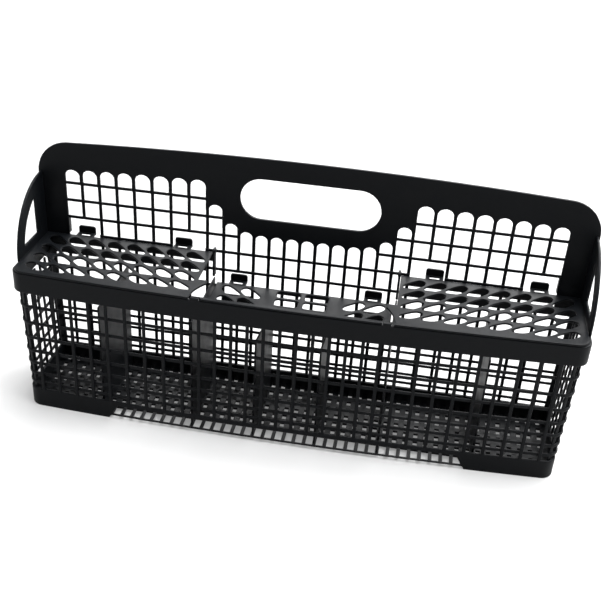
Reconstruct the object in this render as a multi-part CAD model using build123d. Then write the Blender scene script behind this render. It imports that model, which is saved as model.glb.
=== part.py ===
from build123d import *
from itertools import accumulate
import math
import os

# Cutlery basket for a dishwasher door: one moulded body with a tall grille panel at the back, and three
# lids that hinge in windows of the panel. Millimetres. X runs along the basket, Y points to the panel.

# Panel
panel_half = 257.0
panel_height = 243.0
panel_crown = 8.0
panel_corner = 31.0
panel_thick = 3.0
panel_border = 26.3
handle_width = 129.2
handle_height = 39.4
handle_drop = 39.6

# Grille bars, counted outwards from the middle, and the rails that cross them
centre_pitch = 14.5
step_pitch = 15.75
inner_pitch = 17.5
outer_pitch = 16.8
bar_width = 3.2
rail_height = 2.9
low_rail = 126.4
first_rail = 145.5
rail_share = 0.1785
first_step_drop = 50.4
second_step_drop = 67.6
third_step_drop = 74.4
centre_drop = 76.3
arch_rise = 0.85
arch_facets = 4
post_width = 6.0
side_frame = 24.3

# Basket
basket_depth = 94.5
rim_inset = 1.5
rim_overhang = 2.8
rim_corner = 12.0
end_draft = 4.2
corner_facets = 3
rim_bottom = 123.2
rim_top = 142.7
wall_thick = 2.6
bow_radius = 3840.0
ring_depth = 1.9
ring_height = 3.0
ring_facets = 2
first_ring = 25.3
ring_pitch = 9.67
ring_growth = 0.7
ring_count = 7
rib_depth = 1.8
end_rib_count = 1
base_top = 19.5
floor_bottom = 2.0
floor_thick = 2.5
foot_inner = 159.0
foot_slant = 0.6
front_gap_bottom = 4.5
front_gap_top = 15.0
floor_bar = 2.4
floor_rows = 2
divider_thick = 1.8
divider_top = 118.0
middle_divider_front = 108.0
middle_divider_back = 92.0
divider_gap = 0.6

# End brackets and fins
bracket_radius = 64.0
bracket_width = 13.5
bracket_thick = 2.5
bracket_web = 20.0
bracket_foot = 9.8
fin_thick = 2.2
fin_reach = 5.0
fin_bottom = 121.0
fin_top = 149.0
lug_gap = 0.8
lug_inset = 2.0
ledge_reach = 4.0

# Lids
lid_thick = 2.0
lid_seat = 0.3
lid_side_gap = 0.5
lid_back_gap = 0.8
lid_corner = 10.0
lid_lip_height = 7.2
lid_lip_inset = 3.0
lid_spacing = 10.0
ear_reach = 8.7
ear_width = 6.0
ear_back = 58.0
ear_sweep = 26.5
lens_columns = 8
lens_rows = 4
lens_inner_margin = 13.2
lens_outer_margin = 16.5
middle_flange = 3.4
middle_level = 113.5
middle_foot = -22.0
middle_step = 0.0
middle_gap = 1.5
middle_lens_rows = 2
slot_width = 22.0
slot_inner = 2.4
slot_rows = 3
tab_width = 16.8
tab_reach = 5.5
tab_thick = 2.0
tab_rise = 6.5
tab_corner = 2.5
tab_hole_width = 9.0
tab_hole_depth = 3.0
inner_tab_shift = 6.8
outer_tab_shift = -0.2

# Lid holes, as shares of the lid's depth, of the hole pitch, or of half the middle lid's width
lens_width_share = 1.06
lens_height_share = 0.2
lens_height_closing = 0.011
lens_back_share = 0.16
lens_row_share = 0.2194
lens_row_closing = 0.0055
middle_lens_share = 0.622
middle_lens_back_share = 0.151
slot_depth_share = 0.127
slot_back_share = 0.034
slot_pitch_share = 0.167

front_y = -(basket_depth + tab_reach) / 2
panel_back = front_y + basket_depth
panel_front = panel_back - panel_thick
panel_middle = panel_back - panel_thick / 2
bow_centre = front_y + bow_radius
ring_front = front_y + rib_depth
rim_half = panel_half - rim_inset
base_half = rim_half - rim_overhang - end_draft
handle_level = panel_height - handle_drop
rail_pitch = (panel_height - first_rail) * rail_share
floor_top = floor_bottom + floor_thick
rings = [first_ring + ring_pitch * k + ring_growth * k**2 for k in range(ring_count)]
pitches = [centre_pitch / 2] + [centre_pitch] * 5 + [step_pitch] + [inner_pitch] * 4 + [outer_pitch] * 4
bars = list(accumulate(pitch * (panel_half - side_frame) / sum(pitches) for pitch in pitches))
step_drops = [centre_drop] * 3 + [third_step_drop, second_step_drop, first_step_drop]
bow_bars = bars[3::6]
lid_bottom = rim_top + lid_seat
lid_back = panel_front - lid_back_gap
lid_depth = lid_back - front_y
middle_half = bars[5] - lid_side_gap
side_inner = middle_half + lid_spacing
lid_half = rim_half - bracket_thick - lid_side_gap
lens_pitch = (lid_half - side_inner - lens_inner_margin - lens_outer_margin) / (lens_columns - 1)
fin_x = (bars[5] + bars[6]) / 2
middle_wide = fin_x - fin_thick / 2 - middle_gap


def rectangle(left, right, low, high):
    """Plain rectangle between two corners."""
    return Pos((left + right) / 2, (low + high) / 2) * Rectangle(right - left, high - low)


def both_sides(left, right, low, high):
    """The same rectangle on the left and on the right of the middle."""
    return [rectangle(left, right, low, high), rectangle(-right, -left, low, high)]


def upright(sketch, y_low, y_high):
    """Sketch in X and Z, standing as a plate between two depths."""
    return extrude(Plane.XZ.offset(-y_high) * sketch, y_high - y_low)


def sideways(sketch, x_low, x_high):
    """Sketch in Y and Z, as a plate across X."""
    return extrude(Plane.YZ.offset(x_low) * sketch, x_high - x_low)


def level(sketch, z_low, z_high):
    """Sketch in X and Y, as a plate between two heights."""
    return extrude(Pos(0, 0, z_low) * sketch, z_high - z_low)


def front_at(front, x):
    """Depth of the bowed front at a place along the basket. Its middle facet is square to Y."""
    return bow_centre - math.sqrt((bow_centre - front)**2 - max(x**2 - bow_bars[0]**2, 0))


def outline_from(right):
    """Face between the panel and the right half of a front outline, mirrored to the left."""
    left = [(-x, y) for x, y in reversed(right)]
    back = [(right[-1][0], panel_front), (left[0][0], panel_front)]
    return make_face(Polyline(*left, *right, *back, close=True))


def plan(half, front, corner, facets=corner_facets):
    """Basket outline from above: straight ends, and a front bowed and rounded at its corners in flat facets."""
    centre_x = half - corner
    centre_y = front_at(front, centre_x) + corner
    turns = [math.pi / 2 * k / facets for k in range(facets + 1)]
    right = [(x, front_at(front, x)) for x in bow_bars]
    right += [(centre_x + corner * math.sin(a), centre_y - corner * math.cos(a)) for a in turns]
    return outline_from(right)


def band(half, front, corner, thick, facets=corner_facets):
    """Wall of even thickness along the ends and the front."""
    inner = plan(half - thick, front + thick, corner - thick, facets)
    return plan(half, front, corner, facets) - inner


def arch_slot(left, right, top):
    """Grille column from the base up to a rounded head."""
    half = (right - left) / 2
    spring = top - arch_rise * half
    turns = [math.pi * k / arch_facets for k in range(arch_facets + 1)]
    head = [((left + right) / 2 + half * math.cos(a), spring + arch_rise * half * math.sin(a)) for a in turns]
    return make_face(Polyline(*head, (left, base_top), (right, base_top), close=True))


def wall_half(z):
    """Half length of the basket between base and rim: its ends lean outwards."""
    return base_half + end_draft * z / rim_bottom


def arch_top(k):
    """Top of the grille column outside bar k: in steps beside the handle, along the crown further out."""
    if k < len(step_drops):
        return panel_height - step_drops[k]
    return panel_height - panel_border - panel_crown * ((bars[k] + bars[k + 1]) / 2 / panel_half)**2


def lens(row):
    """Leaf-shaped hole with slanted sides. The rows get lower towards the front."""
    width = lens_width_share * lens_pitch
    height = lid_depth * (lens_height_share - lens_height_closing * row)
    points = [(-0.5, -0.45), (0.13, -0.5), (0.5, 0.14), (0.27, 0.5), (-0.46, -0.13)]
    return make_face(Polyline(*[(u * width, v * height) for u, v in points], close=True))


def lens_level(row):
    """How far a row of leaf holes lies before the first row."""
    return lid_depth * (lens_row_share * row - lens_row_closing * row**2)


def make_panel():
    """Tall back panel: bars in its rear half, rails in its front half."""
    shoulder = panel_height - panel_crown
    foot = base_half + rim_inset
    frame = Polyline((panel_half, shoulder), (panel_half, rim_bottom), (foot, 0),
                     (-foot, 0), (-panel_half, rim_bottom), (-panel_half, shoulder))
    crown = ThreePointArc((-panel_half, shoulder), (0, panel_height), (panel_half, shoulder))
    outline = make_face(frame.edges() + crown.edges())
    outline = fillet(outline.vertices().group_by(Axis.Y)[-1], panel_corner)

    half_bar = bar_width / 2
    half_rail = rail_height / 2
    slots = [arch_slot(-bars[0] + half_bar, bars[0] - half_bar, arch_top(0))]
    for k in range(len(bars) - 1):
        slot = arch_slot(bars[k] + half_bar, bars[k + 1] - half_bar, arch_top(k))
        slots += [slot, mirror(slot, Plane.YZ)]
    last = bars[-1] + half_bar
    corners = [(last, base_top), (wall_half(base_top) - post_width, base_top),
               (wall_half(rim_bottom) - post_width, rim_bottom), (last, rim_bottom)]
    slot = make_face(Polyline(*corners, close=True))
    slots += [slot, mirror(slot, Plane.YZ)]

    front_halves = both_sides(bars[-1] - half_bar, bars[-1] + half_bar, base_top, rim_bottom)
    for k, x in enumerate(bars[:-1]):
        top_rail = first_rail + rail_pitch * min(max(k - 3, 0), 3)
        front_halves += both_sides(x - half_bar, x + half_bar, base_top, top_rail)

    rails = []
    for z in rings[2::3] + [low_rail]:
        end = wall_half(z) - post_width / 2
        rails.append(rectangle(-end, end, z - half_rail, z + half_rail))
    rails += [rectangle(-bars[-1], bars[-1], first_rail - half_rail, first_rail + half_rail)]
    for step in (1, 2, 3):
        z = first_rail + rail_pitch * step
        rails += both_sides(bars[step + 3], bars[-1], z - half_rail, z + half_rail)

    windows = []
    for inner, outer in ((6, 8), (12, 14)):
        windows += both_sides(bars[inner] + half_bar, bars[outer] - half_bar,
                              low_rail + half_rail, first_rail + rail_pitch - half_rail)
    windows += both_sides(bars[3] + half_bar, bars[5] - half_bar, rings[-2] + half_rail, low_rail - half_rail)
    handle = Pos(0, handle_level) * SlotOverall(handle_width, handle_height)

    rear = outline - slots - windows - handle
    front = (outline - slots - front_halves - handle) + rails - windows
    return upright(rear, panel_middle, panel_back) + upright(front, panel_front, panel_middle)


def make_base():
    """Solid band at the bottom with the slotted floor, open at the front between the two corner feet."""
    outer = plan(base_half, front_y, rim_corner)
    inner = plan(base_half - wall_thick, front_y + wall_thick, rim_corner - wall_thick)
    edges = [-base_half + wall_thick] + divider_places() + [base_half - wall_thick]
    first_row = front_at(front_y + wall_thick, base_half) + floor_bar
    row_pitch = (panel_front - first_row) / floor_rows
    slots = []
    for left, right in zip(edges, edges[1:]):
        inset = divider_thick / 2 + floor_bar
        for row in range(floor_rows):
            low = first_row + row * row_pitch
            corner = rim_corner if row == 0 and abs(left + right) > base_half else 0
            start = left + inset + (corner if left < -foot_inner else 0)
            stop = right - inset - (corner if right > foot_inner else 0)
            slots.append(rectangle(start, stop, low, low + row_pitch - floor_bar))
    base = level(outer - inner, 0, base_top) + level(inner - slots, floor_bottom, floor_top)

    def between_feet(low, high):
        widths = [foot_inner + (front_gap_top - z) * foot_slant for z in (low, high)]
        corners = [(-widths[0], low), (widths[0], low), (widths[1], high), (-widths[1], high)]
        opening = make_face(Polyline(*corners, close=True))
        return upright(opening, front_y - wall_thick, front_at(front_y, foot_inner) + 2 * wall_thick)

    under = between_feet(0, floor_bottom) - level(inner, 0, floor_bottom)
    gap = between_feet(front_gap_bottom, front_gap_top)
    return base - under - gap


def divider_places():
    """Cross dividers stand in the middle of grille columns."""
    half = [(bars[k] + bars[k + 1]) / 2 for k in (1, 5, 10)]
    return [-x for x in reversed(half)] + half


def make_dividers():
    """Six plates across the basket. The two under the middle lid slope down to the panel."""
    plates = []
    for x in divider_places():
        front = front_at(ring_front + ring_depth, x) + divider_gap
        back = panel_front - divider_gap
        sloped = abs(x) < middle_half
        high = middle_divider_front if sloped else divider_top
        low = middle_divider_back if sloped else divider_top
        side = Polyline((front, floor_bottom), (back, floor_bottom), (back, low), (front, high), close=True)
        plates.append(sideways(make_face(side), x - divider_thick / 2, x + divider_thick / 2))
    return plates


def make_walls():
    """Front and end walls: rings, ribs outside them at the front and inside them at the ends, and the rim.
    Two lugs on the rim carry the middle lid's front line on to the side lids."""
    rim = band(rim_half, front_y, rim_corner, wall_thick)
    solids = [level(rim, rim_bottom, rim_top)]
    for strip in both_sides(middle_half + lug_gap, side_inner - lug_inset, front_y, 0):
        solids.append(level(rim & strip, rim_top, lid_bottom + lid_thick))
    for z in rings:
        ring = band(wall_half(z), ring_front, rim_corner, ring_depth, ring_facets)
        solids.append(level(ring, z - ring_height / 2, z + ring_height / 2))
    skin = plan(base_half, front_y, rim_corner) - plan(rim_half, ring_front, rim_corner)
    for x in bars:
        for strip in both_sides(x - bar_width / 2, x + bar_width / 2, front_y, front_y + 4 * rim_corner):
            solids.append(level(skin & strip, base_top, rim_bottom))
    straight = front_y + 2 * rim_corner
    pitch = (panel_front - straight) / end_rib_count
    for k in range(end_rib_count):
        y = straight + (k + 0.5) * pitch
        outer = [(wall_half(z) - ring_depth / 2, z) for z in (base_top, rim_bottom)]
        inner = [(x - rib_depth, z) for x, z in reversed(outer)]
        rib = upright(make_face(Polyline(*outer, *inner, close=True)), y, y + bar_width)
        solids += [rib, mirror(rib, Plane.YZ)]
    return solids


def make_brackets():
    """Quarter-disc plates from the end rims to the panel, with a D-shaped finger opening."""
    centre = (panel_front, rim_top)
    web = panel_front - bracket_web
    reach = bracket_radius - bracket_width
    disc = Pos(*centre) * Circle(bracket_radius)
    hole = Pos(*centre) * Circle(reach)
    plate = disc & rectangle(panel_front - bracket_radius, panel_front, rim_top, rim_top + bracket_radius)
    hole = hole & rectangle(panel_front - reach, web, rim_top + bracket_foot, rim_top + reach)
    return [sideways(plate - hole, x, x + bracket_thick) for x in (-rim_half, rim_half - bracket_thick)]


def make_body():
    """The whole basket as one moulding, with fins beside the middle lid and ledges under the side lids."""
    fins = []
    for strip in both_sides(fin_x - fin_thick / 2, fin_x + fin_thick / 2, panel_front - fin_reach, panel_front):
        fins.append(level(strip, fin_bottom, fin_top))
    for strip in both_sides(bars[6], bars[-1], panel_front - ledge_reach, panel_front):
        fins.append(level(strip, low_rail - rail_height / 2, low_rail + rail_height / 2))
    pieces = [make_base()] + make_walls() + make_dividers() + make_brackets() + fins
    return make_panel().fuse(*pieces).clean()


def make_tab(x, low):
    """Hinge tab: a neck through the panel's window and an upright behind it."""
    rear = panel_back + tab_reach
    neck = rectangle(x - tab_width / 2, x + tab_width / 2, lid_back - lid_thick, rear)
    hole_y = panel_middle
    neck -= rectangle(x - tab_hole_width / 2, x + tab_hole_width / 2,
                      hole_y - tab_hole_depth / 2, hole_y + tab_hole_depth / 2)
    flag = rectangle(x - tab_width / 2, x + tab_width / 2, low, low + lid_thick + tab_rise)
    flag = chamfer(flag.vertices().group_by(Axis.Y)[-1], tab_corner)
    return level(neck, low, low + lid_thick) + upright(flag, rear - tab_thick, rear)


def make_side_lid():
    """Right lid: flat plate with a field of slanted leaf holes, a finger ear, a back lip and two hinge tabs."""
    plate = plan(lid_half, front_y, lid_corner)
    plate = plate & rectangle(side_inner, lid_half, front_y, lid_back)
    tip = side_inner - ear_reach
    ear_rear = panel_middle - ear_back
    sides = Polyline((side_inner, ear_rear - ear_width - ear_sweep), (side_inner, ear_rear),
                     (tip, ear_rear), (tip, ear_rear - ear_width))
    middle = (side_inner - 0.25 * ear_reach, ear_rear - ear_width - 0.45 * ear_sweep)
    sweep = ThreePointArc((tip, ear_rear - ear_width), middle, (side_inner, ear_rear - ear_width - ear_sweep))
    plate += make_face(sides.edges() + sweep.edges())
    for row in range(lens_rows):
        y = lid_back - lid_depth * lens_back_share - lens_level(row)
        first = side_inner + lens_inner_margin
        plate -= [Pos(first + lens_pitch * k, y) * lens(row) for k in range(lens_columns)]
    lip = rectangle(side_inner, lid_half - lid_lip_inset, lid_back - lid_thick, lid_back)
    lid = level(plate, lid_bottom, lid_bottom + lid_thick) + level(lip, lid_bottom - lid_lip_height, lid_bottom)
    for inner, outer, shift in ((6, 8, inner_tab_shift), (12, 14, outer_tab_shift)):
        lid += make_tab((bars[inner] + bars[outer]) / 2 + shift, lid_bottom)
    return lid


def make_middle_lid():
    """Middle lid: narrow lip on the front rim, a slanted wall down from it, and a level plate to the panel."""
    flange = front_y + middle_flange
    top = lid_bottom + lid_thick
    low = middle_level - lid_thick
    side = Polyline((front_y, lid_bottom), (flange, lid_bottom), (middle_foot, low), (lid_back, low),
                    (lid_back, middle_level), (middle_foot + lid_thick / 2, middle_level),
                    (flange + lid_thick / 2, top), (front_y, top), close=True)
    holes = []
    for row in range(middle_lens_rows):
        y = lid_back - lid_depth * middle_lens_back_share - lens_level(row)
        for k in range(2):
            hole = Pos(middle_lens_share * middle_half + lens_pitch * k, y) * lens(row)
            holes += [hole, mirror(hole, Plane.YZ)]
    for row in range(slot_rows):
        y = lid_back - lid_depth * (slot_back_share + slot_pitch_share * row)
        holes += both_sides(slot_inner, slot_inner + slot_width, y - lid_depth * slot_depth_share, y)
    outline = rectangle(-middle_half, middle_half, front_y, lid_back)
    outline += rectangle(-middle_wide, middle_wide, middle_step, lid_back)
    outline = (outline - holes) & plan(lid_half, front_y, lid_corner)
    lid = sideways(make_face(side), -middle_wide, middle_wide) & level(outline, 0, panel_height)
    x = (bars[3] + bars[5]) / 2
    return lid + make_tab(x, low) + make_tab(-x, low)


os.makedirs("parts", exist_ok=True)
right_lid = make_side_lid()
export_step(make_body(), "parts/basket_body.step")
export_step(mirror(right_lid, Plane.YZ), "parts/left_lid.step")
export_step(make_middle_lid(), "parts/middle_lid.step")
export_step(right_lid, "parts/right_lid.step")
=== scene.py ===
import math
from itertools import accumulate

import bmesh
import bpy
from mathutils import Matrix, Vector
from mathutils.geometry import tessellate_polygon


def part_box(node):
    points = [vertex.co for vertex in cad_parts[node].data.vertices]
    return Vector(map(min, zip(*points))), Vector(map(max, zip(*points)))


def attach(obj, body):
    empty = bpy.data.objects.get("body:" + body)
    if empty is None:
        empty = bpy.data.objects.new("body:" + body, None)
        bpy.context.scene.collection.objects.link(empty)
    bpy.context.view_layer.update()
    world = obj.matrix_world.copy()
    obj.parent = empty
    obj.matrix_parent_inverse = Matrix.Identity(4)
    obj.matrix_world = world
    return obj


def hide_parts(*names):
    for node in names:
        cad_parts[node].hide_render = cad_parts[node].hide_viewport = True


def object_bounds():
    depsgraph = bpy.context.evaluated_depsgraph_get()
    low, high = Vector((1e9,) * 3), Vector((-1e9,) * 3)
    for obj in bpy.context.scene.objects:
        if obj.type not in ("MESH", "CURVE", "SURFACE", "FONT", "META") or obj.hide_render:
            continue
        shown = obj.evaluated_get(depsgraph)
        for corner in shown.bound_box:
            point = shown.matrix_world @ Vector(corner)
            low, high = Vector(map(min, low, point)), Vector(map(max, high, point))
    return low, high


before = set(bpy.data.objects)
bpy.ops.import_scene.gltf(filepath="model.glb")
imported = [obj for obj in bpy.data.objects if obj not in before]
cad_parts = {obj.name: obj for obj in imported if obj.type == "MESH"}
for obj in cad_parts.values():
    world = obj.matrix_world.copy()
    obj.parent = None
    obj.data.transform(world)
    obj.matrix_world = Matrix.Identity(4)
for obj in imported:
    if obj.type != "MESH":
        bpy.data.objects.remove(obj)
cad_low, cad_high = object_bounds()

# Tall back panel: the upright plate of the basket's one black polypropylene moulding. Its crowned top, round
# corners and long handle slot frame a stepped grille whose columns end in arches.
panel_half = cad_high.x
panel_height = cad_high.z
panel_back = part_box("basket_body")[1].y
panel_thick = 0.003
panel_front = panel_back - panel_thick
panel_crown = 0.008
panel_corner = 0.031
panel_border = 0.0263
panel_rounding = 0.0008
post_width = 0.006
side_frame = 0.0243
handle_width = 0.1292
handle_height = 0.0394
handle_drop = 0.0396
handle_level = panel_height - handle_drop
base_top = 0.0195
rim_bottom = 0.1232
panel_overlap = 0.0015
end_taper = 0.007
rim_half = panel_half - panel_overlap
base_half = rim_half - end_taper
end_draft = 0.0042
bar_width = 0.0032
first_rail = 0.1455
rail_share = 0.1785
rail_pitch = (panel_height - first_rail) * rail_share
step_start = 3
step_count = 3
arch_rise = 0.85
column_pitches = [0.00725] + [0.0145] * 5 + [0.01575] + [0.0175] * 4 + [0.0168] * 4
step_drops = [0.0763] * 3 + [0.0744, 0.0676, 0.0504]
column_fit = (panel_half - side_frame) / sum(column_pitches)
bars = list(accumulate(pitch * column_fit for pitch in column_pitches))


def wall_half(z):
    """Half length of the basket between base and rim: its ends lean outwards."""
    return base_half + end_draft * z / rim_bottom


def arc(centre, radii, start, stop, steps):
    """Points on an ellipse's arc, with angles in degrees counted from the first axis towards the second."""
    turns = [math.radians(start + (stop - start) * k / steps) for k in range(steps + 1)]
    return [(centre[0] + radii[0] * math.cos(a), centre[1] + radii[1] * math.sin(a)) for a in turns]


def mirrored(points):
    """The same outline on the other side of the middle, still turning the same way."""
    return [(-u, v) for u, v in reversed(points)]


def moulded_plate(outlines, thick, rounding):
    """Flat plate with rounded edges. The first outline is its edge and the others are holes."""
    turns = [math.radians(a) for a in (0, 45, 90)]
    lower = [(rounding * (1 - math.sin(a)), rounding * (1 - math.cos(a)) - thick / 2) for a in turns]
    section = lower + [(inset, -w) for inset, w in reversed(lower)]
    plate = bmesh.new()
    low_cap, high_cap = [], []
    for k, outline in enumerate(outlines):
        points = [Vector(p) for p in outline]
        area = sum(a.cross(b) for a, b in zip(points, points[1:] + points[:1]))
        if (area > 0) != (k == 0):
            points.reverse()
        inward = []
        for before, here, after in zip(points[-1:] + points[:-1], points, points[1:] + points[:1]):
            first = (here - before).normalized().orthogonal()
            second = (after - here).normalized().orthogonal()
            inward.append((first + second) / (1 + first.dot(second)))
        loops = [[plate.verts.new((*(p + inset * d), w)) for p, d in zip(points, inward)]
                 for inset, w in section]
        for low, high in zip(loops, loops[1:]):
            for i in range(len(points)):
                plate.faces.new((low[i - 1], low[i], high[i], high[i - 1]))
        low_cap.append(loops[0])
        high_cap.append(loops[-1])
    for cap in (low_cap, high_cap):
        corners = [v for loop in cap for v in loop]
        for triangle in tessellate_polygon([[v.co for v in loop] for loop in cap]):
            plate.faces.new([corners[i] for i in triangle])
    bmesh.ops.recalc_face_normals(plate, faces=plate.faces)
    return plate


def mesh_from(shapes, place):
    """One mesh of several plates, each corner put in its place in the basket."""
    whole = bpy.data.meshes.new("moulding")
    joined = bmesh.new()
    for shape in shapes:
        for v in shape.verts:
            v.co = place(*v.co)
        bmesh.ops.recalc_face_normals(shape, faces=shape.faces)
        shape.to_mesh(whole)
        joined.from_mesh(whole)
        shape.free()
    joined.to_mesh(whole)
    joined.free()
    return whole


def add_piece(name, mesh, body, node):
    """Shown piece of black polypropylene that rides on a body and stands for a solid."""
    mesh.materials.clear()
    mesh.materials.append(black_polypropylene)
    mesh.shade_smooth()
    sharp_angle = math.radians(20)
    mesh.set_sharp_from_angle(angle=sharp_angle)
    piece = bpy.data.objects.new(name, mesh)
    bpy.context.scene.collection.objects.link(piece)
    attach(piece, body)
    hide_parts(node)


black_polypropylene = bpy.data.materials.new("black_polypropylene")
black_polypropylene.use_nodes = True
nodes, links = black_polypropylene.node_tree.nodes, black_polypropylene.node_tree.links
plastic = nodes["Principled BSDF"]
plastic.inputs["Specular IOR Level"].default_value = 0.085
place_on_piece = nodes.new("ShaderNodeTexCoord")
flow_marks = nodes.new("ShaderNodeTexNoise")
flow_marks.inputs["Scale"].default_value = 55.0
flow_marks.inputs["Detail"].default_value = 5.0
links.new(place_on_piece.outputs["Object"], flow_marks.inputs["Vector"])
pigment = nodes.new("ShaderNodeValToRGB")
pigment.color_ramp.elements[0].color = (0.0018, 0.0022, 0.0028, 1)
pigment.color_ramp.elements[1].color = (0.0034, 0.0041, 0.0051, 1)
links.new(flow_marks.outputs["Fac"], pigment.inputs["Fac"])
links.new(pigment.outputs["Color"], plastic.inputs["Base Color"])
satin = nodes.new("ShaderNodeMapRange")
satin.inputs["From Min"].default_value = 0.3
satin.inputs["From Max"].default_value = 0.7
satin.inputs["To Min"].default_value = 0.4
satin.inputs["To Max"].default_value = 0.5
links.new(flow_marks.outputs["Fac"], satin.inputs["Value"])
links.new(satin.outputs["Result"], plastic.inputs["Roughness"])
spark_grain = nodes.new("ShaderNodeTexNoise")
spark_grain.inputs["Scale"].default_value = 2200.0
spark_grain.inputs["Detail"].default_value = 2.0
links.new(place_on_piece.outputs["Object"], spark_grain.inputs["Vector"])
mould_texture = nodes.new("ShaderNodeBump")
mould_texture.inputs["Strength"].default_value = 0.12
mould_texture.inputs["Distance"].default_value = 0.0002
links.new(spark_grain.outputs["Fac"], mould_texture.inputs["Height"])
links.new(mould_texture.outputs["Normal"], plastic.inputs["Normal"])

crown_steps = 24
corner_steps = 10
corner_turn = 86
arch_steps = 12
handle_steps = 16
corner_x = panel_half - panel_corner


def crown_at(x):
    """Height of the panel's slightly arched top edge."""
    return panel_height - panel_crown * (x / panel_half)**2


def top_rail_at(k):
    """Height of the highest rail that crosses a bar. It climbs in steps beside the handle."""
    return first_rail + rail_pitch * min(max(k - step_start, 0), step_count)


columns = [(a + b) / 2 for a, b in zip(bars, bars[1:])]
column_arches = [panel_height - drop for drop in step_drops]
column_arches += [crown_at(x) - panel_border for x in columns[len(step_drops):]]
corner_centre = (corner_x, crown_at(corner_x) - panel_corner)
round_corner = arc(corner_centre, (panel_corner, panel_corner), 0, corner_turn, corner_steps)
crown = [(x, crown_at(x)) for x in (corner_x * (1 - 2 * k / crown_steps) for k in range(crown_steps + 1))]
panel_foot = base_half + panel_overlap
panel_edge = [(-panel_half, rim_bottom), (-panel_foot, 0), (panel_foot, 0), (panel_half, rim_bottom)]
panel_edge += round_corner + crown + mirrored(round_corner)

half_bar = bar_width / 2
centre_gap = bars[0] - half_bar
arch_height = arch_rise * centre_gap
middle_arch = arc((0, column_arches[0] - arch_height), (centre_gap, arch_height), 0, 180, arch_steps)
right_side = [(wall_half(z) - post_width, z) for z in (base_top, rim_bottom)]
right_side.append((bars[-1] - half_bar, rim_bottom))
for k in reversed(range(len(column_arches))):
    inner, outer = bars[k] + half_bar, bars[k + 1] - half_bar
    width = (outer - inner) / 2
    spring = column_arches[k] - arch_rise * width
    right_side += arc(((inner + outer) / 2, spring), (width, arch_rise * width), 0, 180, arch_steps)
    lower_arch = column_arches[max(k - 1, 0)]
    tooth = min(top_rail_at(k), spring, lower_arch - arch_rise * width)
    right_side += [(inner, tooth), (bars[k] - half_bar, tooth)]
grille_opening = right_side + middle_arch + mirrored(right_side)

handle_end = handle_height / 2
handle_centre = handle_width / 2 - handle_end
handle_right = arc((handle_centre, handle_level), (handle_end, handle_end), -90, 90, handle_steps)
handle_slot = handle_right + mirrored(handle_right)

panel_middle = (panel_front + panel_back) / 2
panel_plate = moulded_plate([panel_edge, grille_opening, handle_slot], panel_thick, panel_rounding)
panel_mesh = mesh_from([panel_plate], lambda u, v, w: (u, panel_middle - w, v))
add_piece("panel", panel_mesh, "basket", "basket_body")

# Grille of the panel: upright bars in its rear half and level rails in its front half, moulded into each
# other. Six windows in it, two columns wide, take the hinge tabs of the lids.
rail_height = 0.0029
bar_rounding = 0.0006
embed = 0.0015
low_rail = 0.1264
ring_count = 7
ring_first = 0.0253
ring_pitch = 0.00967
ring_growth = 0.0007
ring_heights = [ring_first + ring_pitch * k + ring_growth * k**2 for k in range(ring_count)]
middle_window = (bars[3], bars[5])
inner_window = (bars[6], bars[8])
outer_window = (bars[12], bars[14])
side_window_bars = (7, 13)
middle_window_bar = 4
window_top = first_rail + rail_pitch
face_gap = 0.00003


def bar_tree():
    """Node tree that puts one rounded bar on each point, as long as its reach and turned by its turn."""
    tree = bpy.data.node_groups.new("moulded_bars", "GeometryNodeTree")
    tree.interface.new_socket("Points", in_out="INPUT", socket_type="NodeSocketGeometry")
    for size in ("Width", "Depth", "Rounding"):
        tree.interface.new_socket(size, in_out="INPUT", socket_type="NodeSocketFloat")
    tree.interface.new_socket("Plastic", in_out="INPUT", socket_type="NodeSocketMaterial")
    tree.interface.new_socket("Bars", in_out="OUTPUT", socket_type="NodeSocketGeometry")
    new, link = tree.nodes.new, tree.links.new
    given, made = new("NodeGroupInput"), new("NodeGroupOutput")
    section = new("GeometryNodeCurvePrimitiveQuadrilateral")
    link(given.outputs["Width"], section.inputs["Width"])
    link(given.outputs["Depth"], section.inputs["Height"])
    rounded = new("GeometryNodeFilletCurve")
    rounded.mode = "POLY"
    rounded.inputs["Count"].default_value = 2
    link(section.outputs["Curve"], rounded.inputs["Curve"])
    link(given.outputs["Rounding"], rounded.inputs["Radius"])
    length = new("GeometryNodeCurvePrimitiveLine")
    length.inputs["Start"].default_value = (0, 0, -0.5)
    length.inputs["End"].default_value = (0, 0, 0.5)
    bar = new("GeometryNodeCurveToMesh")
    bar.inputs["Fill Caps"].default_value = True
    link(length.outputs["Curve"], bar.inputs["Curve"])
    link(rounded.outputs["Curve"], bar.inputs["Profile Curve"])
    reach, turn = new("GeometryNodeInputNamedAttribute"), new("GeometryNodeInputNamedAttribute")
    reach.data_type, turn.data_type = "FLOAT", "FLOAT_VECTOR"
    reach.inputs["Name"].default_value = "reach"
    turn.inputs["Name"].default_value = "turn"
    stretch = new("ShaderNodeCombineXYZ")
    stretch.inputs["X"].default_value = 1
    stretch.inputs["Y"].default_value = 1
    link(reach.outputs["Attribute"], stretch.inputs["Z"])
    angles = new("FunctionNodeEulerToRotation")
    link(turn.outputs["Attribute"], angles.inputs["Euler"])
    row = new("GeometryNodeInstanceOnPoints")
    link(given.outputs["Points"], row.inputs["Points"])
    link(bar.outputs["Mesh"], row.inputs["Instance"])
    link(angles.outputs["Rotation"], row.inputs["Rotation"])
    link(stretch.outputs["Vector"], row.inputs["Scale"])
    real = new("GeometryNodeRealizeInstances")
    link(row.outputs["Instances"], real.inputs["Geometry"])
    coat = new("GeometryNodeSetMaterial")
    link(real.outputs["Geometry"], coat.inputs["Geometry"])
    link(given.outputs["Plastic"], coat.inputs["Material"])
    link(coat.outputs["Geometry"], made.inputs["Bars"])
    return tree


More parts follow.
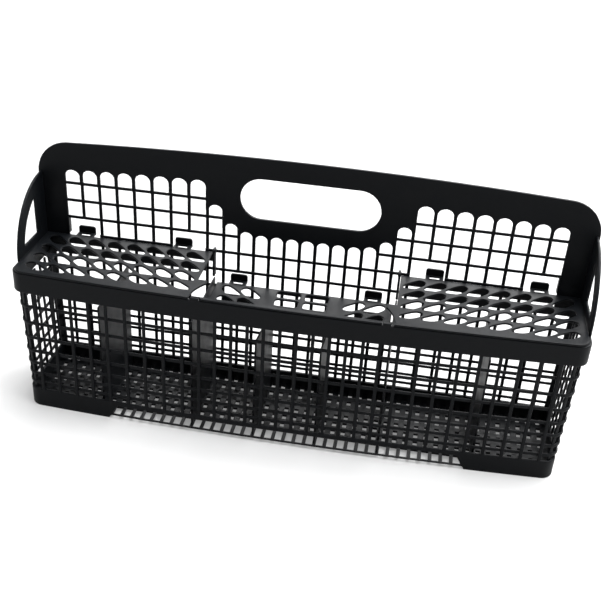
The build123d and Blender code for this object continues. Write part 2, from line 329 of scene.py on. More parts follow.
def grown(mesh, tree, sizes):
    """Plain mesh that a node tree makes of a mesh, with its inputs set by name."""
    seed = bpy.data.objects.new("seed", mesh)
    bpy.context.scene.collection.objects.link(seed)
    maker = seed.modifiers.new("maker", "NODES")
    maker.node_group = tree
    sockets = {s.name: s.identifier for s in tree.interface.items_tree if s.in_out == "INPUT"}
    for name, value in sizes.items():
        maker[sockets[name]] = value
    seed.update_tag()
    depsgraph = bpy.context.evaluated_depsgraph_get()
    result = bpy.data.meshes.new_from_object(seed.evaluated_get(depsgraph))
    seed.modifiers.remove(maker)
    bpy.data.objects.remove(seed)
    return result


moulded_bars = bar_tree()


def bar_mesh(places, width, depth, rounding):
    """Rounded bars, each given by its centre, its length and its turn."""
    points = bpy.data.meshes.new("bar_places")
    points.from_pydata([centre for centre, _, _ in places], [], [])
    reach = points.attributes.new("reach", "FLOAT", "POINT")
    turn = points.attributes.new("turn", "FLOAT_VECTOR", "POINT")
    for k, (_, length, angles) in enumerate(places):
        reach.data[k].value = length
        turn.data[k].vector = angles
    sizes = {"Width": width, "Depth": depth, "Rounding": rounding, "Plastic": black_polypropylene}
    return grown(points, moulded_bars, sizes)


upright = (0, 0, 0)
along_x = (0, math.pi / 2, 0)
bar_depth = panel_thick / 2
bar_y = panel_back - bar_depth / 2 - face_gap
rail_y = panel_front + bar_depth / 2 + face_gap

bar_places = []
for k, x in enumerate(bars):
    top = rim_bottom if k == len(bars) - 1 else top_rail_at(k)
    stretches = [(base_top, top)]
    if k in side_window_bars:
        stretches = [(base_top, low_rail), (window_top, top)]
    if k == middle_window_bar:
        stretches = [(base_top, ring_heights[-2]), (low_rail, top)]
    for low, high in stretches:
        for side in (-1, 1):
            centre = (side * x, bar_y, (low + high) / 2)
            bar_places.append((centre, high - low + 2 * embed, upright))
grille_bars = bar_mesh(bar_places, bar_width, bar_depth, bar_rounding)
add_piece("grille_bars", grille_bars, "basket", "basket_body")

rail_ends = {z: wall_half(z) - post_width for z in ring_heights + [low_rail]}
rail_runs = [(-rail_ends[z], rail_ends[z], z) for z in ring_heights[:-1] + [low_rail]]
rail_runs.append((-middle_window[0], middle_window[0], ring_heights[-1]))
rail_runs.append((-inner_window[0], inner_window[0], first_rail))
for side in (-1, 1):
    rail_runs.append((side * middle_window[1], side * rail_ends[ring_heights[-1]], ring_heights[-1]))
    rail_runs.append((side * inner_window[1], side * outer_window[0], first_rail))
    for step in range(1, step_count + 1):
        rail_runs.append((side * bars[step_start + step], side * bars[-1], first_rail + rail_pitch * step))
rail_places = [(((a + b) / 2, rail_y, z), abs(b - a) + bar_width, along_x) for a, b, z in rail_runs]
grille_rails = bar_mesh(rail_places, rail_height, bar_depth, bar_rounding)
add_piece("grille_rails", grille_rails, "basket", "basket_body")

# Base of the basket: a low band round the ends and the front, moulded in one with the floor and the walls.
# Two corner feet carry it, and between them the front is open above a narrow lip.
front_y = cad_low.y
wall_corner = 0.012
wall_thick = 0.0026
wall_rounding = 0.0009
bow_radius = 4.03
floor_bottom = 0.002
foot_inner = 0.159
foot_slant = 0.6
lip_bottom = 0.0032
gap_bottom = 0.0045
gap_top = 0.015
wall_steps = 16
cut_tolerance = 1e-7


class Wall:
    """Line of a wall seen from above: bowed front, round corners and straight ends up to the panel."""

    def __init__(self, half, front, corner):
        self.half, self.corner = half, corner
        self.bow_y = front + bow_radius
        self.turn = math.asin((half - corner) / (bow_radius - corner))
        self.corner_y = self.bow_y - (bow_radius - corner) * math.cos(self.turn)
        self.bow_end = bow_radius * self.turn
        self.corner_end = self.bow_end + corner * (math.pi / 2 - self.turn)
        self.end = self.corner_end + panel_front - self.corner_y

    def at(self, s):
        """Point and outward direction at a length along the wall from the middle of the front."""
        side, s = math.copysign(1, s), abs(s)
        if s < self.bow_end:
            a = s / bow_radius
            x, y = bow_radius * math.sin(a), self.bow_y - bow_radius * math.cos(a)
        elif s < self.corner_end:
            a = self.turn + (s - self.bow_end) / self.corner
            x = self.half + self.corner * (math.sin(a) - 1)
            y = self.corner_y - self.corner * math.cos(a)
        else:
            a = math.pi / 2
            x, y = self.half, self.corner_y + s - self.corner_end
        return side * x, y, side * math.sin(a), -math.cos(a)

    def stations(self):
        """Lengths along the wall at which a flat strip needs an edge to follow it."""
        steps = range(1, wall_steps + 1)
        bow = [self.bow_end * k / wall_steps for k in steps]
        bend = [self.bow_end + (self.corner_end - self.bow_end) * k / wall_steps for k in steps]
        return [0] + [side * s for s in bow + bend for side in (-1, 1)]

    def wrap(self, outlines, thick, rounding):
        """Plate drawn flat, length by height, and bent round the wall. Its outer face lies on the line."""
        plate = moulded_plate(outlines, thick, rounding)
        for s in self.stations():
            everything = plate.verts[:] + plate.edges[:] + plate.faces[:]
            bmesh.ops.bisect_plane(plate, geom=everything, plane_co=(s, 0, 0), plane_no=(1, 0, 0),
                                   dist=cut_tolerance)

        def place(s, z, w):
            x, y, out_x, out_y = self.at(s)
            depth = w - thick / 2
            return x + depth * out_x, y + depth * out_y, z

        return mesh_from([plate], place)


base_wall = Wall(base_half, front_y, wall_corner)


def foot_edge(z):
    """Inner edge of a foot, which leans outwards as it goes down."""
    return foot_inner + (gap_top - z) * foot_slant


feet = [(foot_edge(lip_bottom), lip_bottom), (foot_edge(0), 0)]
feet += [(base_wall.end, 0), (base_wall.end, base_top)]
front_gap = [(foot_edge(gap_bottom), gap_bottom), (foot_edge(gap_top), gap_top)]
base_outlines = [feet + mirrored(feet), front_gap + mirrored(front_gap)]
base_mesh = base_wall.wrap(base_outlines, wall_thick, wall_rounding)
add_piece("base_band", base_mesh, "basket", "basket_body")

# Floor: a fine grid of small cells, moulded between the base band and the panel.
# Cutlery tips stand on it and water drains through it.
floor_thick = 0.0025
cell_pitch_x = 0.00975
cell_pitch_y = 0.012
cell_bar_x = 0.0058
front_bar_x = 0.0034
cell_bar_y = 0.006
floor_rounding = 0.0004
search_steps = 400
floor_middle = floor_bottom + floor_thick / 2
along_y = (math.pi / 2, 0, 0)
inner_front = front_y + wall_thick


def inner_front_at(x):
    """Depth of the base band's inner face at a place along the basket, round the corners too."""
    inset = wall_thick / 2
    lengths = [base_wall.end * k / search_steps for k in range(search_steps + 1)]
    nearest = min(lengths, key=lambda s: abs(base_wall.at(s)[0] - abs(x)))
    return base_wall.at(nearest)[1] + inset


cell_rows = int((panel_front - inner_front) / cell_pitch_y) - 1
first_row = panel_front - cell_rows * cell_pitch_y
front_level = (lip_bottom + gap_bottom) / 2
rear_places = []
front_places = []
cell_columns = int((base_half - wall_thick) / cell_pitch_x)
for k in range(-cell_columns, cell_columns + 1):
    x = k * cell_pitch_x
    start = inner_front_at(x)
    rear_centre = (x, (first_row + panel_middle) / 2, floor_middle)
    rear_places.append((rear_centre, panel_middle - first_row, along_y))
    front_places.append(((x, (start + first_row) / 2, front_level), first_row - start, along_y))
rear_mesh = bar_mesh(rear_places, cell_bar_x, floor_thick, floor_rounding)
add_piece("floor_cross_bars", rear_mesh, "basket", "basket_body")
front_mesh = bar_mesh(front_places, front_bar_x, gap_bottom - lip_bottom, floor_rounding)
add_piece("floor_front_bars", front_mesh, "basket", "basket_body")

floor_places = []
for row in range(cell_rows):
    y = panel_front - (row + 1) * cell_pitch_y
    beyond = max(base_wall.corner_y - y, 0)
    half = base_half - wall_thick / 2 - wall_corner + math.sqrt(max(wall_corner**2 - beyond**2, 0))
    floor_places.append(((0, y, floor_middle), 2 * half, along_x))
long_mesh = bar_mesh(floor_places, floor_thick, cell_bar_y, floor_rounding)
add_piece("floor_long_bars", long_mesh, "basket", "basket_body")

# Walls: seven level rings round the ends and the front, set closer towards the floor. Upright ribs lie
# outside them along the front and inside them at the ends. A broad plain rim closes the top, with a small
# lug at each joint between the lids.
ring_depth = 0.0019
ring_height = 0.003
ring_rounding = 0.0007
rib_depth = 0.0018
end_ribs = 6
corner_ribs = 2
rim_top = 0.1427


def ring_tree():
    """Node tree that repeats one ring upwards. Pitch and length grow from ring to ring."""
    tree = bpy.data.node_groups.new("wall_rings", "GeometryNodeTree")
    tree.interface.new_socket("Ring", in_out="INPUT", socket_type="NodeSocketGeometry")
    tree.interface.new_socket("Count", in_out="INPUT", socket_type="NodeSocketInt")
    for size in ("First", "Pitch", "Growth", "Lean"):
        tree.interface.new_socket(size, in_out="INPUT", socket_type="NodeSocketFloat")
    tree.interface.new_socket("Plastic", in_out="INPUT", socket_type="NodeSocketMaterial")
    tree.interface.new_socket("Rings", in_out="OUTPUT", socket_type="NodeSocketGeometry")
    new, link = tree.nodes.new, tree.links.new
    given, made = new("NodeGroupInput"), new("NodeGroupOutput")
    levels, index = new("GeometryNodeMeshLine"), new("GeometryNodeInputIndex")
    levels.inputs["Offset"].default_value = (0, 0, 0)
    link(given.outputs["Count"], levels.inputs["Count"])

    def multiply_add(factor, times, plus):
        step = new("ShaderNodeMath")
        step.operation = "MULTIPLY_ADD"
        for socket, source in zip(step.inputs, (factor, times, plus)):
            link(source, socket)
        return step.outputs["Value"]

    pitch = multiply_add(given.outputs["Growth"], index.outputs["Index"], given.outputs["Pitch"])
    height = multiply_add(pitch, index.outputs["Index"], given.outputs["First"])
    rise = new("ShaderNodeCombineXYZ")
    link(height, rise.inputs["Z"])
    lifted = new("GeometryNodeSetPosition")
    link(levels.outputs["Mesh"], lifted.inputs["Geometry"])
    link(rise.outputs["Vector"], lifted.inputs["Position"])
    one = new("ShaderNodeValue")
    one.outputs["Value"].default_value = 1
    longer = new("ShaderNodeCombineXYZ")
    longer.inputs["Y"].default_value = 1
    longer.inputs["Z"].default_value = 1
    link(multiply_add(height, given.outputs["Lean"], one.outputs["Value"]), longer.inputs["X"])
    stack = new("GeometryNodeInstanceOnPoints")
    link(longer.outputs["Vector"], stack.inputs["Scale"])
    link(lifted.outputs["Geometry"], stack.inputs["Points"])
    link(given.outputs["Ring"], stack.inputs["Instance"])
    real = new("GeometryNodeRealizeInstances")
    link(stack.outputs["Instances"], real.inputs["Geometry"])
    coat = new("GeometryNodeSetMaterial")
    link(real.outputs["Geometry"], coat.inputs["Geometry"])
    link(given.outputs["Plastic"], coat.inputs["Material"])
    link(coat.outputs["Geometry"], made.inputs["Rings"])
    return tree


rim_wall = Wall(rim_half, front_y, wall_corner)
ring_wall = Wall(base_half, front_y + rib_depth, wall_corner)
strip = [(ring_wall.end, -ring_height / 2), (ring_wall.end, ring_height / 2)]
one_ring = ring_wall.wrap([strip + mirrored(strip)], ring_depth, ring_rounding)
ring_sizes = {"Count": ring_count, "First": ring_first, "Pitch": ring_pitch, "Growth": ring_growth,
              "Lean": end_draft / rim_bottom / base_half, "Plastic": black_polypropylene}
add_piece("wall_rings", grown(one_ring, ring_tree(), ring_sizes), "basket", "basket_body")

rib_middle = (base_top + rim_bottom) / 2
rib_reach = rim_bottom - base_top + 2 * embed
rib_places = []
for x in bars:
    for side in (-1, 1):
        a = math.asin(x / bow_radius)
        px, py, out_x, out_y = rim_wall.at(side * a * bow_radius)
        centre = (px - out_x * rib_depth / 2, py - out_y * rib_depth / 2, rib_middle)
        rib_places.append((centre, rib_reach, (0, 0, side * a)))
front_ribs = bar_mesh(rib_places, bar_width, rib_depth, bar_rounding)
add_piece("front_ribs", front_ribs, "basket", "basket_body")

lean = math.atan(end_draft / rim_bottom)
straight = ring_wall.end - ring_wall.corner_end
rib_lengths = [ring_wall.bow_end + (ring_wall.corner_end - ring_wall.bow_end) * (k + 0.5) / corner_ribs
               for k in range(corner_ribs)]
rib_lengths += [ring_wall.corner_end + straight * (k + 0.5) / end_ribs for k in range(end_ribs)]
rib_places = []
for s in rib_lengths:
    for side in (-1, 1):
        x, y, out_x, out_y = ring_wall.at(side * s)
        inset = ring_depth / 2 + rib_depth / 2
        out = side * (wall_half(rib_middle) - base_half)
        centre = (x + out - out_x * inset, y - out_y * inset, rib_middle)
        facing = math.atan2(out_y, out_x)
        rib_places.append((centre, rib_reach, (side * lean * out_y, side * lean * out_x, facing)))
end_rib_mesh = bar_mesh(rib_places, rib_depth, bar_width, bar_rounding)
add_piece("end_ribs", end_rib_mesh, "basket", "basket_body")

band = [(rim_wall.end, rim_bottom), (rim_wall.end, rim_top)]
rim_mesh = rim_wall.wrap([band + mirrored(band)], wall_thick, wall_rounding)
add_piece("rim", rim_mesh, "basket", "basket_body")

lid_seat = 0.0003
lid_thick = 0.002
middle_inset = 0.0005
lid_spacing = 0.01
lug_inner_gap = 0.0008
lug_outer_gap = 0.002
lid_bottom = rim_top + lid_seat
middle_half = middle_window[1] - middle_inset
side_inner = middle_half + lid_spacing
lug_inner = middle_half + lug_inner_gap
lug_outer = side_inner - lug_outer_gap
lug_low = rim_top - embed
lug_top = lid_bottom + lid_thick
lug_places = []
for side in (-1, 1):
    x, y, out_x, out_y = rim_wall.at(side * (lug_inner + lug_outer) / 2)
    centre = (x - out_x * wall_thick / 2, y - out_y * wall_thick / 2, (lug_low + lug_top) / 2)
    lug_places.append((centre, lug_outer - lug_inner, along_x))
lug_mesh = bar_mesh(lug_places, lug_top - lug_low, wall_thick, wall_rounding)
add_piece("rim_lugs", lug_mesh, "basket", "basket_body")

# Cross dividers: six thin plates of the same moulding stand on the floor and part the basket into seven
# compartments. The two under the middle lid are lower and slope down to the panel.
divider_thick = 0.0018
divider_top = 0.118
middle_divider_front = 0.108
middle_divider_back = 0.092
divider_gap = 0.0006
divider_rounding = 0.0005
divider_columns = (1, 5, 10)

for name, k in zip(("middle", "inner", "outer"), divider_columns):
    x = (bars[k] + bars[k + 1]) / 2
    near = ring_wall.at(x)[1] + ring_depth + divider_gap
    far = panel_front - divider_gap
    high, low = divider_top, divider_top
    if name == "middle":
        high, low = middle_divider_front, middle_divider_back
    side_view = [(near, floor_bottom), (far, floor_bottom), (far, low), (near, high)]
    plates = [moulded_plate([side_view], divider_thick, divider_rounding) for _ in (-1, 1)]
    for side, plate in zip((-1, 1), plates):
        bmesh.ops.translate(plate, vec=(0, 0, side * x), verts=plate.verts)
    add_piece(name + "_dividers", mesh_from(plates, lambda u, v, w: (w, u, v)), "basket", "basket_body")

# End brackets, fins and lid rests: quarter discs with a D-shaped finger opening brace the panel on the end
# rims, and two short fins with round pegs guide the middle lid. A ledge lies under each side lid's back, and
# thin cheeks and sills edge some of the windows. All are moulded in one with the panel.
bracket_radius = 0.064
bracket_width = 0.0135
bracket_thick = 0.0025
bracket_web = 0.02
bracket_foot = 0.0098
bracket_rounding = 0.0009
fin_thick = 0.0022
fin_reach = 0.005
fin_bottom = 0.121
fin_top = 0.149
disc_steps = 28
hole_steps = 20
fin_steps = 6

hole_radius = bracket_radius - bracket_width
centre = (panel_front, rim_top)
disc = arc(centre, (bracket_radius, bracket_radius), 90, 180, disc_steps)
hole_low = 180 - math.degrees(math.asin(bracket_foot / hole_radius))
hole_high = 180 - math.degrees(math.acos(bracket_web / hole_radius))
finger_hole = arc(centre, (hole_radius, hole_radius), hole_high, hole_low, hole_steps)
finger_hole.append((panel_front - bracket_web, rim_top + bracket_foot))
bracket_edge = disc + [(panel_front - bracket_radius, rim_top - embed)]
bracket_edge += [(panel_front + embed, rim_top - embed), (panel_front + embed, rim_top + bracket_radius)]
brackets = []
for side in (-1, 1):
    plate = moulded_plate([bracket_edge, finger_hole], bracket_thick, bracket_rounding)
    bmesh.ops.translate(plate, vec=(0, 0, side * (rim_half - bracket_thick / 2)), verts=plate.verts)
    brackets.append(plate)
add_piece("end_brackets", mesh_from(brackets, lambda u, v, w: (w, u, v)), "basket", "basket_body")

fin_x = (middle_window[1] + inner_window[0]) / 2
fin_round = fin_reach / 2
fin_edge = [(panel_front - fin_reach, fin_bottom), (panel_front + embed, fin_bottom)]
fin_edge.append((panel_front + embed, fin_top))
fin_edge += arc((panel_front - fin_round, fin_top - fin_round), (fin_round, fin_round), 90, 180, fin_steps)
fins = []
for side in (-1, 1):
    plate = moulded_plate([fin_edge], fin_thick, divider_rounding)
    bmesh.ops.translate(plate, vec=(0, 0, side * fin_x), verts=plate.verts)
    fins.append(plate)
add_piece("lid_fins", mesh_from(fins, lambda u, v, w: (w, u, v)), "basket", "basket_body")

peg_length = 0.003
peg_size = 0.0046
peg_rounding = 0.45 * peg_size
peg_level = fin_top - peg_size / 2
peg_y = panel_front - peg_size / 2
peg_places = [((side * fin_x, peg_y, peg_level), peg_length, along_x) for side in (-1, 1)]
peg_mesh = bar_mesh(peg_places, peg_size, peg_size, peg_rounding)
add_piece("fin_pegs", peg_mesh, "basket", "basket_body")

ledge_reach = 0.004
ledge_low = low_rail - rail_height / 2
ledge_top = 0.1315
ledge_middle = (inner_window[0] + outer_window[1]) / 2
ledge_length = outer_window[1] - inner_window[0]
ledge_depth = ledge_reach + embed
ledge_y = panel_front - ledge_reach + ledge_depth / 2
ledge_z = (ledge_low + ledge_top) / 2
ledge_places = [((side * ledge_middle, ledge_y, ledge_z), ledge_length, along_x) for side in (-1, 1)]
ledge_mesh = bar_mesh(ledge_places, ledge_top - ledge_low, ledge_depth, bar_rounding)
add_piece("lid_ledges", ledge_mesh, "basket", "basket_body")

cheek_thick = 0.0012
cheek_low = 0.1465
cheek_depth = 2 * panel_thick
cheek_rounding = 0.4 * cheek_thick
cheek_embed = 0.0002
cheek_height = window_top - cheek_low
cheek_x = bars[-1] - half_bar - cheek_thick / 2 + cheek_embed
cheek_z = (cheek_low + window_top) / 2
cheek_places = [((side * cheek_x, panel_middle, cheek_z), cheek_height, upright) for side in (-1, 1)]
cheek_mesh = bar_mesh(cheek_places, cheek_thick, cheek_depth, cheek_rounding)
add_piece("window_cheeks", cheek_mesh, "basket", "basket_body")

sill_low = ring_heights[-2]
sill_top = 0.1
sill_inset = 0.0002
sill_length = middle_window[1] - middle_window[0]
sill_middle = sum(middle_window) / 2
sill_z = (sill_low + sill_top) / 2
sill_places = [((side * sill_middle, panel_middle, sill_z), sill_length, along_x) for side in (-1, 1)]
sill_mesh = bar_mesh(sill_places, sill_top - sill_low, panel_thick - 2 * sill_inset, bar_rounding)
add_piece("window_sills", sill_mesh, "basket", "basket_body")

# Side lids: flat mouldings of the same black polypropylene, with a field of slanted leaf-shaped holes and a
# swept finger ear at the inner edge. Two tabs hook through the panel's windows and hinge there.
lid_rounding = 0.0006
lid_back_gap = 0.0008
lid_end_gap = 0.0005
lid_back = panel_front - lid_back_gap
lid_depth = lid_back - front_y
lid_corner = 0.01
lid_half = rim_half - bracket_thick - lid_end_gap
ear_reach = 0.0087
ear_width = 0.006
ear_setback = 0.058
ear_rear = panel_middle - ear_setback
ear_sweep = 0.0265
ear_curving = 2.2
leaf_heights = [0.2, 0.189, 0.178, 0.152]
leaf_columns = 8
leaf_inner_margin = 0.0132
leaf_outer_margin = 0.0165
leaf_fill = 1.06
leaf_first = side_inner + leaf_inner_margin
leaf_pitch = (lid_half - leaf_outer_margin - leaf_first) / (leaf_columns - 1)
leaf_width = leaf_fill * leaf_pitch
leaf_corners = [(-0.5, -0.48), (0, -0.5), (0.44, -0.02), (0.5, 0.3), (0.36, 0.5), (0.13, 0.5), (-0.5, -0.16)]
leaf_softening = (0.22, 0.27)
leaf_spacing = 0.2194
leaf_closing = 0.0058
leaf_back = lid_back - 0.16 * lid_depth
back_lip = 0.0072
back_lip_end_gap = 0.003
tab_width = 0.0168
tab_rear = cad_high.y
tab_thick = 0.002
tab_rise = 0.0065
tab_corner = 0.0025
tab_hole_width = 0.009
tab_hole_depth = 0.005
tab_hole_shift = 0.0013
tab_hole_middle = panel_middle + tab_hole_shift
tab_rounding = 0.0005
tab_steps = 6
inner_tab_shift = 0.0068
outer_tab_shift = -0.0002


def leaf(x, y, row):
    """Leaf-shaped hole with slanted sides and soft corners. The rows get lower towards the front."""
    height = lid_depth * leaf_heights[row]
    line = [(x + u * leaf_width, y - leaf_level(row) + v * height) for u, v in leaf_corners]
    for share in leaf_softening:
        pairs = zip(line, line[1:] + line[:1])
        line = [(a[0] + (b[0] - a[0]) * t, a[1] + (b[1] - a[1]) * t)
                for a, b in pairs for t in (share, 1 - share)]
    return line


def leaf_level(row):
    """How far a row of leaf holes lies before the first row."""
    return lid_depth * (leaf_spacing * row - leaf_closing * row**2)


def tab_plates(x, low):
    """Hinge tab: a neck with a hole through the panel's window and a round-cornered upright behind it."""
    left, right = x - tab_width / 2, x + tab_width / 2
    start = lid_back - lid_thick
    stop = tab_rear - tab_thick / 2
    hole_left, hole_right = x - tab_hole_width / 2, x + tab_hole_width / 2
    hole_near, hole_far = tab_hole_middle - tab_hole_depth / 2, tab_hole_middle + tab_hole_depth / 2
    hole = [(hole_left, hole_near), (hole_right, hole_near), (hole_right, hole_far), (hole_left, hole_far)]
    neck_edge = [(left, start), (right, start), (right, stop), (left, stop)]
    neck = moulded_plate([neck_edge, hole], lid_thick, tab_rounding)
    for v in neck.verts:
        v.co.z += low + lid_thick / 2
    top = low + lid_thick + tab_rise
    flag_edge = [(left, low), (right, low)]
    flag_edge += arc((right - tab_corner, top - tab_corner), (tab_corner, tab_corner), 0, 90, tab_steps)
    flag_edge += arc((left + tab_corner, top - tab_corner), (tab_corner, tab_corner), 90, 180, tab_steps)
    flag = moulded_plate([flag_edge], tab_thick, tab_rounding)
    for v in flag.verts:
        v.co = (v.co.x, stop - v.co.z, v.co.y)
    return [neck, flag]


lid_wall = Wall(lid_half, front_y, lid_corner)
bow_steps = 24
bend_steps = 14
sweep_steps = 8
bow_points = [lid_wall.bow_end * k / bow_steps for k in range(bow_steps + 1)]
lid_front = [lid_wall.at(s)[:2] for s in bow_points if lid_wall.at(s)[0] > side_inner + lid_rounding]
bend_centre = (lid_half - lid_corner, lid_wall.corner_y)
lid_bend = arc(bend_centre, (lid_corner, lid_corner), -corner_turn, 0, bend_steps)
ear_tip = side_inner - ear_reach
ear_front = ear_rear - ear_width
ear_curve = [(side_inner - ear_reach * (1 - t)**ear_curving, ear_front - ear_sweep * t)
             for t in (k / sweep_steps for k in range(sweep_steps))]
front_corner = lid_wall.at(side_inner)[1]
lid_edge = [(side_inner, front_corner)] + lid_front + lid_bend
lid_edge += [(lid_half, lid_back), (side_inner, lid_back), (side_inner, ear_rear), (ear_tip, ear_rear)]
lid_edge += ear_curve
leaf_holes = []
for row in range(len(leaf_heights)):
    for k in range(leaf_columns):
        leaf_holes.append(leaf(leaf_first + leaf_pitch * k, leaf_back, row))
tab_places = [sum(inner_window) / 2 + inner_tab_shift, sum(outer_window) / 2 + outer_tab_shift]
lip_low, lip_high = lid_bottom - back_lip, lid_bottom + lid_thick / 2
lip_end = lid_half - back_lip_end_gap
lip_edge = [(side_inner, lip_low), (lip_end, lip_low), (lip_end, lip_high), (side_inner, lip_high)]

for name, side in (("left_lid", -1), ("right_lid", 1)):
    lid = moulded_plate([lid_edge] + leaf_holes, lid_thick, lid_rounding)
    for v in lid.verts:
        v.co.z += lid_bottom + lid_thick / 2
    lip = moulded_plate([lip_edge], lid_thick, tab_rounding)
    for v in lip.verts:
        v.co = (v.co.x, lid_back - lid_thick / 2 - v.co.z, v.co.y)
    tabs = [plate for x in tab_places for plate in tab_plates(x, lid_bottom)]
    lid_mesh = mesh_from([lid, lip] + tabs, lambda x, y, z: (side * x, y, z))
    add_piece(name + "_moulding", lid_mesh, name, name)

# Middle lid: one moulding with a narrow lip on the front rim, a slanted wall down from it and a level plate
# that lies deeper than the other lids. It has rounded slots in its middle, leaf holes at its ends and two
# hinge tabs like those of the side lids.
middle_rounding = 0.0009
middle_level = 0.1135
flange_depth = 0.0034
middle_flange = front_y + flange_depth
middle_foot = -0.022
middle_step = 0.0
fin_gap = 0.0015
middle_wide = fin_x - fin_thick / 2 - fin_gap
middle_steps = 12
middle_leaf_rows = 2
middle_leaf_columns = 2
middle_leaf_first = 0.622 * middle_half
middle_leaf_back = lid_back - 0.151 * lid_depth
slot_width = 0.022
slot_inner = 0.0024
slot_depth = 0.127 * lid_depth
slot_pitch = 0.167 * lid_depth
slot_first = lid_back - 0.034 * lid_depth
slot_rows = 3
slot_corner = 0.003
slot_corner_steps = 4

middle_holes = []
for row in range(middle_leaf_rows):
    for k in range(middle_leaf_columns):
        hole = leaf(middle_leaf_first + leaf_pitch * k, middle_leaf_back, row)
        middle_holes += [hole, mirrored(hole)]
for row in range(slot_rows):
    high = slot_first - slot_pitch * row
    far, near = high - slot_corner, high - slot_depth + slot_corner
    left, right = slot_inner + slot_corner, slot_inner + slot_width - slot_corner
    slot = []
    for x, y, start in ((right, far, 0), (left, far, 90), (left, near, 180), (right, near, 270)):
        slot += arc((x, y), (slot_corner, slot_corner), start, start + 90, slot_corner_steps)
    middle_holes += [slot, mirrored(slot)]

lip_back = middle_flange + lid_thick / 2
middle_right = [lid_wall.at(middle_half * k / middle_steps)[:2] for k in range(1, middle_steps + 1)]
middle_right += [(middle_half, middle_step), (middle_wide, middle_step), (middle_wide, lid_back)]
middle = moulded_plate([middle_right + mirrored(middle_right)] + middle_holes, lid_thick, middle_rounding)
for bend in (middle_flange, lip_back, middle_foot, middle_foot + lid_thick / 2):
    everything = middle.verts[:] + middle.edges[:] + middle.faces[:]
    bmesh.ops.bisect_plane(middle, geom=everything, plane_co=(0, bend, 0), plane_no=(0, 1, 0),
                           dist=cut_tolerance)
drop = lid_bottom + lid_thick - middle_level
for v in middle.verts:
    bend = middle_flange + (v.co.z + lid_thick / 2) / 2
    share = min(max((v.co.y - bend) / (middle_foot - middle_flange), 0), 1)
    v.co.z += lid_bottom + lid_thick / 2 - drop * share
middle_tab = sum(middle_window) / 2
tabs = [plate for x in (-middle_tab, middle_tab) for plate in tab_plates(x, middle_level - lid_thick)]
middle_mesh = mesh_from([middle] + tabs, lambda x, y, z: (x, y, z))
add_piece("middle_lid_moulding", middle_mesh, "middle_lid", "middle_lid")

# Studio: a white paper floor that keeps the soft shadow, and a white surround. Both look white to the eye and
# in reflections, and light the basket less than they show. Large soft boxes light it from behind and from
# overhead, and a weak one from the left.
floor_size = 12.0


def white_rays(nodes, links):
    """One for rays that show the studio to the camera, directly, mirrored or through glass, else zero."""
    seen_by = nodes.new("ShaderNodeLightPath")
    shown = seen_by.outputs["Is Camera Ray"]
    for ray in ("Is Glossy Ray", "Is Transmission Ray"):
        either = nodes.new("ShaderNodeMath")
        either.operation = "MAXIMUM"
        links.new(shown, either.inputs[0])
        links.new(seen_by.outputs[ray], either.inputs[1])
        shown = either.outputs["Value"]
    return shown


floor_mesh = bpy.data.meshes.new("studio_floor")
floor_half = floor_size / 2
floor_corners = [(x * floor_half, y * floor_half, 0) for x, y in ((-1, -1), (1, -1), (1, 1), (-1, 1))]
floor_mesh.from_pydata(floor_corners, [], [(0, 1, 2, 3)])
studio_floor = bpy.data.objects.new("studio_floor", floor_mesh)
bpy.context.scene.collection.objects.link(studio_floor)
white_floor = bpy.data.materials.new("white_floor")
white_floor.use_nodes = True
nodes, links = white_floor.node_tree.nodes, white_floor.node_tree.links
paper = nodes["Principled BSDF"]
paper.inputs["Roughness"].default_value = 0.9
paper.inputs["Specular IOR Level"].default_value = 0.1
paper.inputs["Emission Color"].default_value = (1, 1, 1, 1)
place_on_floor = nodes.new("ShaderNodeTexCoord")
across_floor = nodes.new("ShaderNodeSeparateXYZ")
links.new(place_on_floor.outputs["Object"], across_floor.inputs["Vector"])
paper_glow = nodes.new("ShaderNodeMapRange")
paper_glow.inputs["From Min"].default_value = -0.18
paper_glow.inputs["From Max"].default_value = 0.3
paper_glow.inputs["To Min"].default_value = 0.36
paper_glow.inputs["To Max"].default_value = 0.0
links.new(across_floor.outputs["Y"], paper_glow.inputs["Value"])
distance = nodes.new("ShaderNodeVectorMath")
distance.operation = "LENGTH"
links.new(place_on_floor.outputs["Object"], distance.inputs[0])
far_glow = nodes.new("ShaderNodeMapRange")
far_glow.inputs["From Min"].default_value = 0.7
far_glow.inputs["From Max"].default_value = 2.0
links.new(distance.outputs["Value"], far_glow.inputs["Value"])
floor_glow = nodes.new("ShaderNodeMath")
floor_glow.operation = "MAXIMUM"
links.new(paper_glow.outputs["Result"], floor_glow.inputs[0])
links.new(far_glow.outputs["Result"], floor_glow.inputs[1])
shown = white_rays(nodes, links)
seen_glow = nodes.new("ShaderNodeMath")
seen_glow.operation = "MULTIPLY"
links.new(floor_glow.outputs["Value"], seen_glow.inputs[0])
links.new(shown, seen_glow.inputs[1])
links.new(seen_glow.outputs["Value"], paper.inputs["Emission Strength"])
paper_tone = nodes.new("ShaderNodeMix")
paper_tone.data_type = "RGBA"
paper_tone.inputs["A"].default_value = (0.28, 0.28, 0.28, 1)
paper_tone.inputs["B"].default_value = (0.36, 0.36, 0.36, 1)
links.new(shown, paper_tone.inputs["Factor"])
links.new(paper_tone.outputs["Result"], paper.inputs["Base Color"])
floor_mesh.materials.append(white_floor)

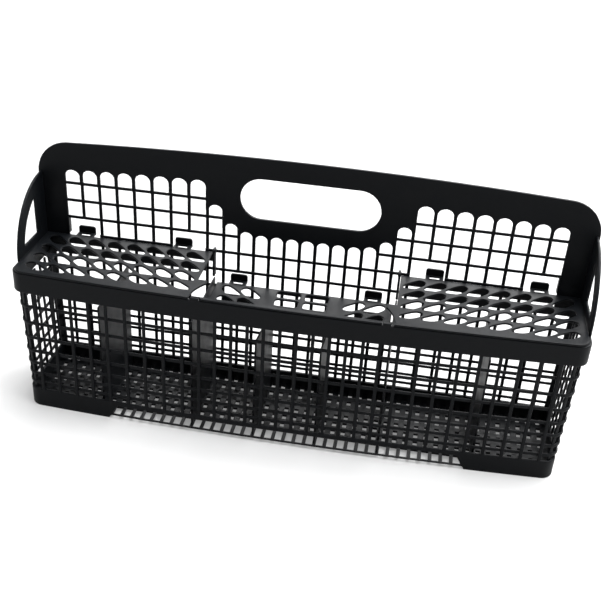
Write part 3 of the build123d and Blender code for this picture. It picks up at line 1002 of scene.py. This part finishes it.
surround = bpy.data.worlds.new("white_surround")
surround.use_nodes = True
bpy.context.scene.world = surround
nodes, links = surround.node_tree.nodes, surround.node_tree.links
sky = nodes["Background"]
sky.inputs["Strength"].default_value = 1.0
direction = nodes.new("ShaderNodeTexCoord")
towards = nodes.new("ShaderNodeSeparateXYZ")
links.new(direction.outputs["Generated"], towards.inputs["Vector"])
studio_wall = nodes.new("ShaderNodeValToRGB")
studio_wall.color_ramp.elements[0].color = (0.105, 0.12, 0.14, 1)
studio_wall.color_ramp.elements[1].color = (0.7, 0.7, 0.7, 1)
from_front = nodes.new("ShaderNodeMapRange")
from_front.inputs["From Min"].default_value = -0.6
from_front.inputs["From Max"].default_value = 0.4
links.new(towards.outputs["Y"], from_front.inputs["Value"])
links.new(from_front.outputs["Result"], studio_wall.inputs["Fac"])
backdrop = nodes.new("ShaderNodeMix")
backdrop.data_type = "RGBA"
backdrop.inputs["B"].default_value = (1, 1, 1, 1)
links.new(white_rays(nodes, links), backdrop.inputs["Factor"])
links.new(studio_wall.outputs["Color"], backdrop.inputs["A"])
links.new(backdrop.outputs["Result"], sky.inputs["Color"])


def soft_box(name, place, aim, width, height, watts):
    """Rectangular studio light aimed at a point."""
    lamp = bpy.data.lights.new(name, "AREA")
    lamp.shape = "RECTANGLE"
    lamp.size = width
    lamp.size_y = height
    lamp.energy = watts
    light = bpy.data.objects.new(name, lamp)
    light.location = place
    light.rotation_euler = (Vector(aim) - Vector(place)).to_track_quat("-Z", "Y").to_euler()
    bpy.context.scene.collection.objects.link(light)


middle_of_basket = (0, 0, 0.1)
soft_box("back_box", (0.5, 2.3, 1.7), middle_of_basket, 3.6, 1.6, 150)
soft_box("overhead_box", (0.5, 0.25, 1.7), middle_of_basket, 1.8, 1.2, 110)
soft_box("left_box", (-1.5, -0.5, 1.1), middle_of_basket, 0.9, 1.2, 10)

# Camera: the photograph's view, from above and a little right of the basket's middle, with a plain lens that
# has no shift.
camera_data = bpy.data.cameras.new("photo_camera")
camera_data.sensor_width = 36.0
camera_data.lens = 53.55
camera = bpy.data.objects.new("photo_camera", camera_data)
camera.location = (0.0964, -0.7109, 0.541)
camera.rotation_euler = [math.radians(a) for a in (59.625, -3.344, 9.0)]
bpy.context.scene.collection.objects.link(camera)
bpy.context.scene.camera = camera
bpy.context.scene.view_settings.view_transform = "Standard"
